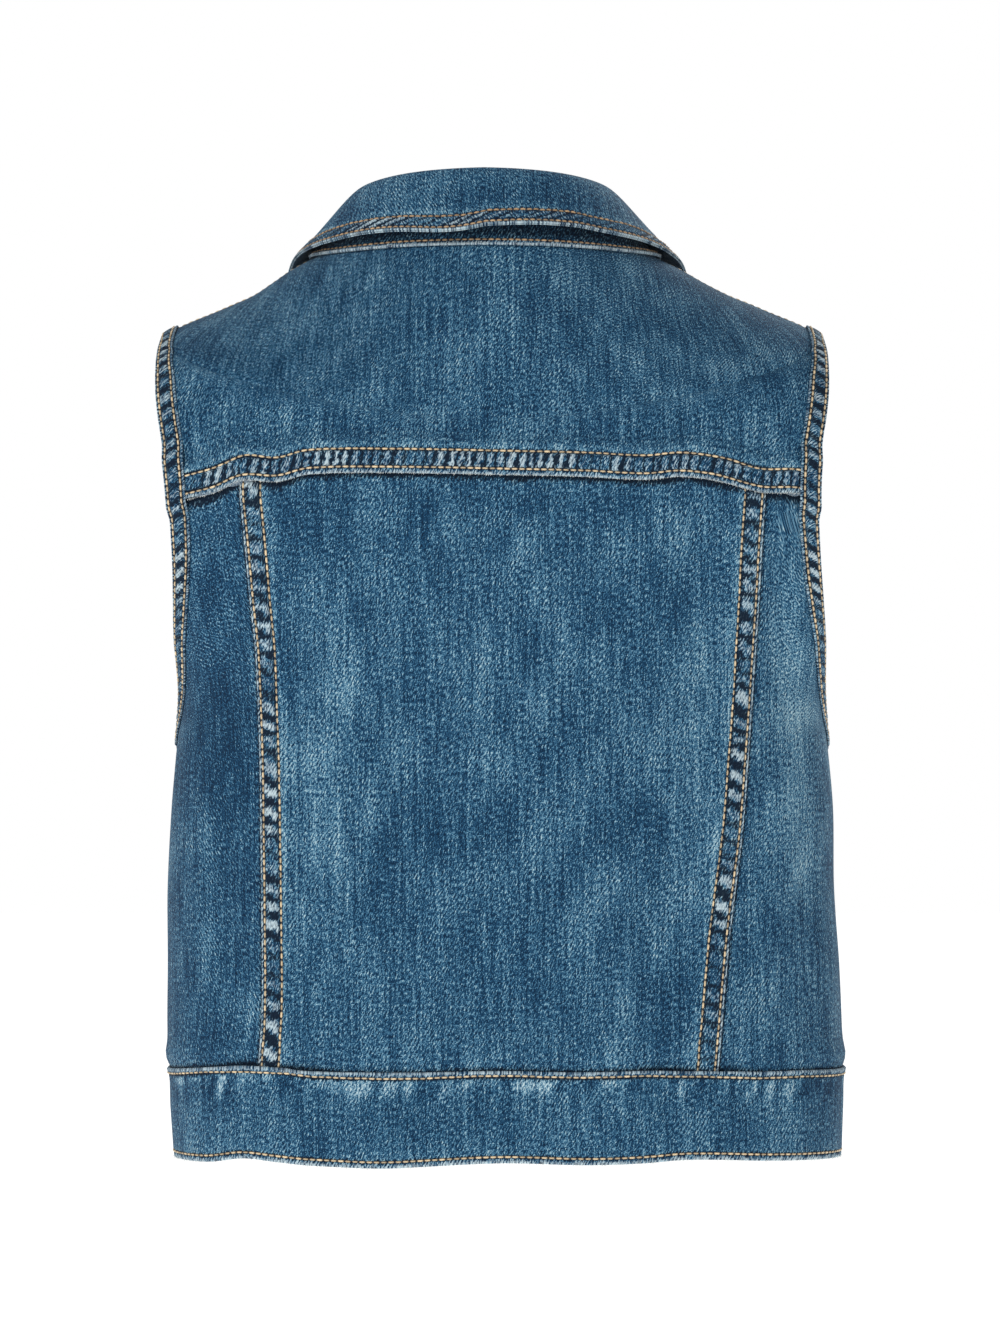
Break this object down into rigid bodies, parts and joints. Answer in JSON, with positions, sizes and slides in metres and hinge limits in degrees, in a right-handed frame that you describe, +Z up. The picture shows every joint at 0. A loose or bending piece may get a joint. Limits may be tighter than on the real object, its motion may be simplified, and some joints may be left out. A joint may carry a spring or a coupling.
{
  "type": "denim vest",
  "caption": "Cropped sleeveless denim jacket in its worn, hollow form, with a turned-down collar, back yoke, panelled back, waistband and buttoned front.",
  "frame": {"origin": "midway between the two high shoulder points, where the wearer's shoulders carry the vest", "axes": "+Z up the body, +Y out of the front, -Y out of the back, +X to the wearer's right"},
  "size_m": [0.3542, 0.2112, 0.5085],
  "materials": {
    "denim": "mid-blue stonewashed twill denim with vertical slubs",
    "denim_trim": "the same denim, abraded paler along folded edges",
    "topstitch_thread": "tan polyester topstitching thread, slightly shiny",
    "button_metal": "plain antique brass"
  },
  "bodies": {
    "root": {"yoke_back": "denim", "back_center": "denim", "back_side_left": "denim", "back_side_right": "denim", "front_right": "denim", "front_left": "denim", "placket_left": "denim", "placket_right": "denim", "waistband": "denim", "collar_stand": "denim", "collar_fall": "denim", "armhole_band_left": "denim_trim", "armhole_band_right": "denim_trim", "button_1": "button_metal", "button_2": "button_metal", "button_3": "button_metal", "button_4": "button_metal", "button_5": "button_metal", "button_6": "button_metal"}
  },
  "joints": []
}
